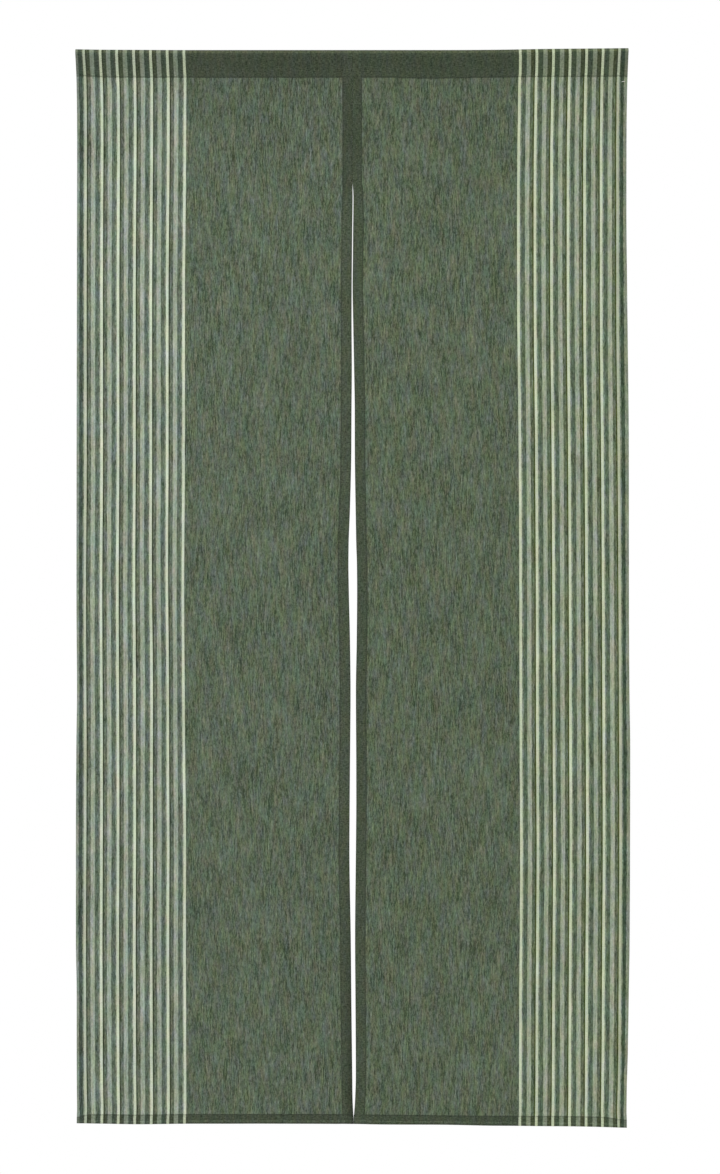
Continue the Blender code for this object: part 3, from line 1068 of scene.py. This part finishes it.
def cloth_material(panel, marks):
    """Yarn-dyed cloth: every warp yarn changes tone and hue along its length."""
    material = bpy.data.materials.new(f"cloth_{panel.name}")
    nodes = Nodes(material)
    place = nodes.add("ShaderNodeUVMap", uv_map="flat_cloth").outputs["UV"]
    u, v = nodes.add("ShaderNodeSeparateXYZ", {0: place}).outputs[:2]

    heading, foot_hem, slit_hem = hem_zones(nodes, u, v, panel)
    doubled = nodes.math("MAXIMUM", nodes.math("MAXIMUM", heading, foot_hem), slit_hem)
    single_colour, phase, in_field = striped_colour(nodes, u, panel, False)
    doubled_colour, _, _ = striped_colour(nodes, u, panel, True)
    # the single and doubled colours, with painted highlights along the creases
    colour = highlighted(nodes, nodes.mix(doubled, single_colour, doubled_colour), v, marks)

    yarns = yarn_strength(nodes, phase, in_field)
    strength = nodes.times(yarns, nodes.times_plus(doubled, -DOUBLED_CALM, 1.0))
    weave = weave_height(nodes, u, v)
    colour = toned(nodes, colour, u, v, panel, doubled, yarns, strength, weave)
    colour = hued(nodes, colour, u, v, panel, strength)
    # painted shade and painted light placed over the cloth, with other factors on its tone
    for place, factor in placed_shades(nodes, u, v, panel, heading, slit_hem, in_field):
        colour = nodes.scaled(colour, nodes.factor(place, factor))

    values = {"Strength": BUMP_STRENGTH, "Distance": BUMP_DEPTH, "Height": weave}
    normal = nodes.add("ShaderNodeBump", values).outputs[0]
    nodes.surface({"Normal": normal, "Base Color": colour, "Roughness": 0.95, "Specular IOR Level": 0.12})
    return material


def thread_material(name, colour):
    """Twisted sewing thread."""
    material = bpy.data.materials.new(name)
    nodes = Nodes(material)
    place = nodes.add("ShaderNodeTexCoord").outputs["Object"]
    values = {"Scale": TWIST_SCALE, "Distortion": 0.6, "Vector": place}
    twist = nodes.add("ShaderNodeTexWave", values, wave_type="BANDS", bands_direction="DIAGONAL")
    shaded, lit = (tuple(share * part for part in colour) for share in TWIST_TONES)
    tone = nodes.ramp(twist.outputs["Color"], ((0.0, shaded), (1.0, lit)))
    nodes.surface({"Base Color": tone, "Roughness": 0.7})
    return material


# Stage, in metres
SCALE = 0.00156  # metres for each pixel of the 720 by 1174 frame
FRAME_WIDTH, FRAME_HEIGHT = 720, 1174
CENTRE_COLUMN = 352.3  # the seam stands on this pixel column
TOP_ROW = 50.0  # the top edge lies on this pixel row
CAMERA_AWAY = 5.2
FLOOR_GAP = 0.30  # the curtain hangs this far above the floor
FLOOR_RADIUS = 1.15
FLOOR_FADE = 0.28  # it has faded out where it is this much further from the origin than its middle
FLOOR_TONES = ((0.3, (0.70, 0.70, 0.69)), (0.7, (0.74, 0.74, 0.73)))
SKY_STRENGTH = 0.60  # light from the surroundings at eye level, against white
OVERHEAD_STRENGTH = 1.2  # and from overhead
SKY_RISE = 0.2  # it grows from this height of the sky upwards, where 1 is overhead
LIGHT_SIZE = 1.6  # each soft light is a square that faces the middle of the curtain
LIGHT_AIM = (0.0, 0.0, -0.8)
LIGHTS = {"key": ((-2.4, -3.6, 0.9), 150.0), "back": ((2.6, 3.4, 0.9), 130.0)}  # places and watts


def make_floor():
    """A round pale floor that fades out towards its rim."""
    lowest = max(edge.foot for edge in EDGES) + FLOOR_GAP
    sides = 96
    turn = np.arange(sides) * 2 * math.pi / sides
    points = np.stack((FLOOR_RADIUS * np.cos(turn), FLOOR_RADIUS * np.sin(turn), 0 * turn - lowest), -1)
    material = bpy.data.materials.new("pale_floor")
    nodes = Nodes(material)
    noise = nodes.add("ShaderNodeTexNoise", {"Scale": 3.0})
    place = nodes.add("ShaderNodeNewGeometry").outputs["Position"]
    away = nodes.add("ShaderNodeVectorMath", {0: place}, operation="LENGTH")
    alpha = nodes.falling(away.outputs["Value"], lowest, FLOOR_FADE)
    tone = nodes.ramp(noise.outputs[0], FLOOR_TONES)
    nodes.surface({"Base Color": tone, "Roughness": 0.8, "Alpha": alpha})
    add_mesh("floor", points, [tuple(range(sides))], material)


def add_light(name, place, power):
    data = bpy.data.lights.new(name, "AREA")
    data.size = LIGHT_SIZE
    data.energy = power
    light = add_object(name, data)
    light.location = place
    way = np.array(LIGHT_AIM) - np.array(place)
    flat = math.hypot(way[0], way[1])
    light.rotation_euler = (math.atan2(flat, -way[2]), 0.0, math.atan2(-way[0], way[1]))


def light_scene():
    """A white background to the camera, and softer light from it, brighter overhead."""
    world = bpy.data.worlds.new("studio")
    nodes = Nodes(world)
    way = nodes.add("ShaderNodeTexCoord").outputs["Generated"]
    height = nodes.add("ShaderNodeSeparateXYZ", {0: way}).outputs["Z"]
    light = nodes.mapped(height, SKY_RISE, 1.0, SKY_STRENGTH, OVERHEAD_STRENGTH)
    seen = nodes.add("ShaderNodeLightPath").outputs["Is Camera Ray"]
    background = nodes.tree.nodes["Background"]
    nodes.put(background, {"Color": WHITE, "Strength": nodes.mapped(seen, 0.0, 1.0, light, 1.0)})
    bpy.context.scene.world = world
    for name, (place, power) in LIGHTS.items():
        add_light(name, place, power)
    bpy.context.scene.view_settings.view_transform = "Standard"


def add_camera():
    """Square on to the curtain and far away, with the frame's own width and height."""
    data = bpy.data.cameras.new("camera")
    data.sensor_fit = "VERTICAL"
    data.sensor_height = 36.0
    data.lens = data.sensor_height * CAMERA_AWAY / (FRAME_HEIGHT * SCALE)
    camera = add_object("camera", data)
    camera.location = (
        (FRAME_WIDTH / 2 - CENTRE_COLUMN) * SCALE,
        -CAMERA_AWAY - SOLID_LAYER,
        -(FRAME_HEIGHT / 2 - TOP_ROW) * SCALE,
    )
    camera.rotation_euler = (math.pi / 2, 0.0, 0.0)
    bpy.context.scene.camera = camera


add_camera()
light_scene()
make_floor()
thread = thread_material("green_thread", GREEN_THREAD)
for panel in PANELS:
    cloth, flat = make_cloth(panel)
    sewing = sew_panel(panel, thread)
    if panel.name == "right":
        sewing.append(make_thread_end(thread_material("white_thread", WHITE_THREAD)))
